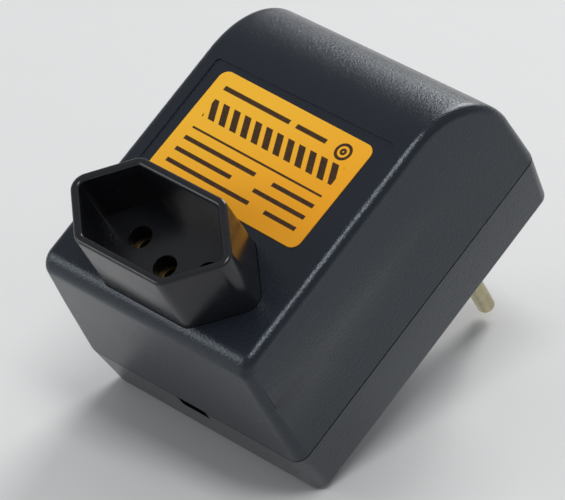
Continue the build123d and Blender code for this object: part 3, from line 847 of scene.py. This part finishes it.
def washerForm(thickness):
    look = fibreWashers
    radius, hole, edge, sides = look["radius"], look["hole"], look["edge"], look["sides"]
    form = lathe([(hole, 0), (radius - edge, 0), (radius, edge), (radius, thickness - edge),
                  (radius - edge, thickness), (hole, thickness)], sides)
    # the wall of the hole joins the last ring of corners to the first
    form.verts.ensure_lookup_table()
    last = len(form.verts) - sides
    for number in range(sides):
        after = (number + 1) % sides
        form.faces.new([form.verts[number], form.verts[after],
                        form.verts[last + after], form.verts[last + number]])
    bmesh.ops.recalc_face_normals(form, faces=form.faces)
    return form


def makeWashers():
    look = fibreWashers
    low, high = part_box("core_washers")
    middle = (low + high) / 2
    tree = Repeat("fibreWashersTree", {"Apart Across": high.x - low.x - 2 * look["radius"],
                                       "Apart Up": high.z - low.z - 2 * look["radius"]})
    points = tree.value("GeometryNodeMeshGrid", {}, {
        "Size X": tree.size("Apart Across"), "Size Y": tree.size("Apart Up"),
        "Vertices X": 2, "Vertices Y": 2})
    points = tree.moved(points, (middle.x, low.y, middle.z), (math.pi / 2, 0, 0))
    tree.finish(tree.copies(points, tree.blank, (-math.pi / 2, 0, 0)), "fibre_washer")
    tree.build(washerForm(high.y - low.y), "fibreWashers", "core_washers", "fibre_washer")


makeWashers()

print("floor")
rest = {
    "edgeRound": 1.2 * mm,      # round of the rear bottom edge that the case lies on
    "caseBack": -20 * mm,       # the case's back, behind the face of the nose
    "rearDraft": 1.0 * mm,      # how far the rear edge stands in
    "pinAxis": -3 * mm,         # height of the earth pin, whose tip it leans on
    "clearance": 0.02 * mm,
    "floorSize": 6.0,
    "floorColour": (0.74, 0.74, 0.735),
    "floorRoughness": 0.7,
    "mottle": (40 * mm, 3.0, 0.5),
    "mottleSteps": (0.3, 0.7),
    "mottleShare": 0.5,
    "mottleShade": 0.985,
}


def restingPlane():
    # a point of the floor and its upward direction, from the two rounds that touch it
    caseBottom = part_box("front_shell")[0].z
    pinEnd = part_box("plug_pin_earth")[1].y
    edgeCentre = Vector((0, rest["caseBack"] - rest["edgeRound"],
                         caseBottom + rest["rearDraft"] + rest["edgeRound"]))
    tipCentre = Vector((0, pinEnd - plugPin["tipRound"],
                        rest["pinAxis"] - plugPin["radius"] + plugPin["tipRound"]))
    along = tipCentre - edgeCentre
    across = Vector((0, along.z, -along.y)).normalized()
    lean = (rest["edgeRound"] - plugPin["tipRound"]) / along.length
    down = (across * math.sqrt(1 - lean * lean) + along.normalized() * lean).normalized()
    return edgeCentre + down * (rest["edgeRound"] + rest["clearance"]), -down


floorPoint, floorUp = restingPlane()


def makeFloor():
    colour = rest["floorColour"]
    finish = Finish("paleFloor", colour, rest["floorRoughness"])
    mottle = finish.noise(*rest["mottle"]).step(*rest["mottleSteps"]) * rest["mottleShare"]
    darker = [channel * rest["mottleShade"] for channel in colour]
    finish.set("Base Color", finish.blend(mottle, opaque(colour), opaque(darker)))
    # the floor casts no shadow and isn't seen from below
    clear = finish.value("ShaderNodeBsdfTransparent", {}, {})
    behind = finish.value("ShaderNodeNewGeometry", {}, {}, "Backfacing")
    shadow = finish.value("ShaderNodeLightPath", {}, {}, "Is Shadow Ray")
    mixed = finish.value("ShaderNodeMixShader", {}, {
        0: behind.atLeast(shadow), 1: Signal(finish, finish.shader.outputs[0]), 2: clear})
    finish.connect(finish.nodes["Material Output"].inputs["Surface"], mixed)
    half = rest["floorSize"] / 2
    form = bmesh.new()
    form.faces.new([form.verts.new((x * half, y * half, 0))
                    for x, y in ((-1, -1), (1, -1), (1, 1), (-1, 1))])
    side = Vector((1, 0, 0))
    turned = Matrix((side, floorUp.cross(side), floorUp)).transposed().to_4x4()
    form.transform(Matrix.Translation(floorPoint) @ turned)
    floor = addObject("floor", meshOf(form, "floor"))
    floor.data.materials.append(finish.material)


makeFloor()

print("camera")
# its place and the picture's axes, in the part's frame
photoCamera = {
    "eye": (0.460896, -0.679728, -0.231139),
    "right": (0.72971906, 0.33998071, 0.59323116),
    "down": (0.38123573, 0.51792871, -0.76577358),
    "lens": 249.07,
    "sensor": 36.0,
    "clip": (0.01, 20.0),
}


def makeCamera():
    data = bpy.data.cameras.new("photoCamera")
    data.lens = photoCamera["lens"]
    data.sensor_width = photoCamera["sensor"]
    data.clip_start, data.clip_end = photoCamera["clip"]
    camera = addObject("photoCamera", data)
    right = Vector(photoCamera["right"])
    up = -Vector(photoCamera["down"])
    back = right.cross(up)
    camera.matrix_world = (Matrix.Translation(photoCamera["eye"])
                           @ Matrix((right, up, back)).transposed().to_4x4())
    bpy.context.scene.camera = camera


makeCamera()

print("lamps")
# place is right, toward the camera and up, in metres from the middle of the rear cover
lamps = {
    "topSoftbox": {"place": (0.45, -1.42, 1.02), "size": (1.4, 0.7), "power": 17.8},
    "overheadSoftbox": {"place": (0.05, 0.50, 1.25), "size": (0.6, 0.3), "power": 6.0},
    "leftSoftbox": {"place": (-1.4, 0.20, 0.45), "size": (0.8, 0.6), "power": 4.5},
    "wallLamp": {"place": (0.2, -0.5, -1.2), "size": (1.0, 1.0), "power": 10.0},
}


def makeLamps():
    low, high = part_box("rear_cover")
    middle = (low + high) / 2
    eye = Vector(photoCamera["eye"])
    toward = (eye - floorUp * eye.dot(floorUp)).normalized()
    right = floorUp.cross(toward)
    for name, lamp in lamps.items():
        data = bpy.data.lights.new(name, "AREA")
        data.shape = "RECTANGLE"
        data.size, data.size_y = lamp["size"]
        data.energy = lamp["power"]
        across, ahead, height = lamp["place"]
        away = right * across + toward * ahead + floorUp * height
        turn = away.to_track_quat("Z", "Y").to_matrix().to_4x4()
        addObject(name, data).matrix_world = Matrix.Translation(middle + away) @ turn


makeLamps()

print("world")
worldLook = {"colour": (0.80, 0.82, 0.85), "light": 0.44, "seen": 0.76}


def makeWorld():
    world = bpy.data.worlds.new("studio")
    bpy.context.scene.world = world
    world.use_nodes = True
    maker = NodeMaker(world.node_tree)
    background = maker.nodes["Background"]
    seen = maker.value("ShaderNodeLightPath", {}, {}, "Is Camera Ray")
    strength = maker.value("ShaderNodeMapRange", {}, {
        "Value": seen, "To Min": worldLook["light"],
        "To Max": worldLook["seen"] / worldLook["colour"][1]})
    maker.connect(background.inputs["Color"], opaque(worldLook["colour"]))
    maker.connect(background.inputs["Strength"], strength)


makeWorld()
bpy.context.scene.view_settings.view_transform = "Standard"

print("done")
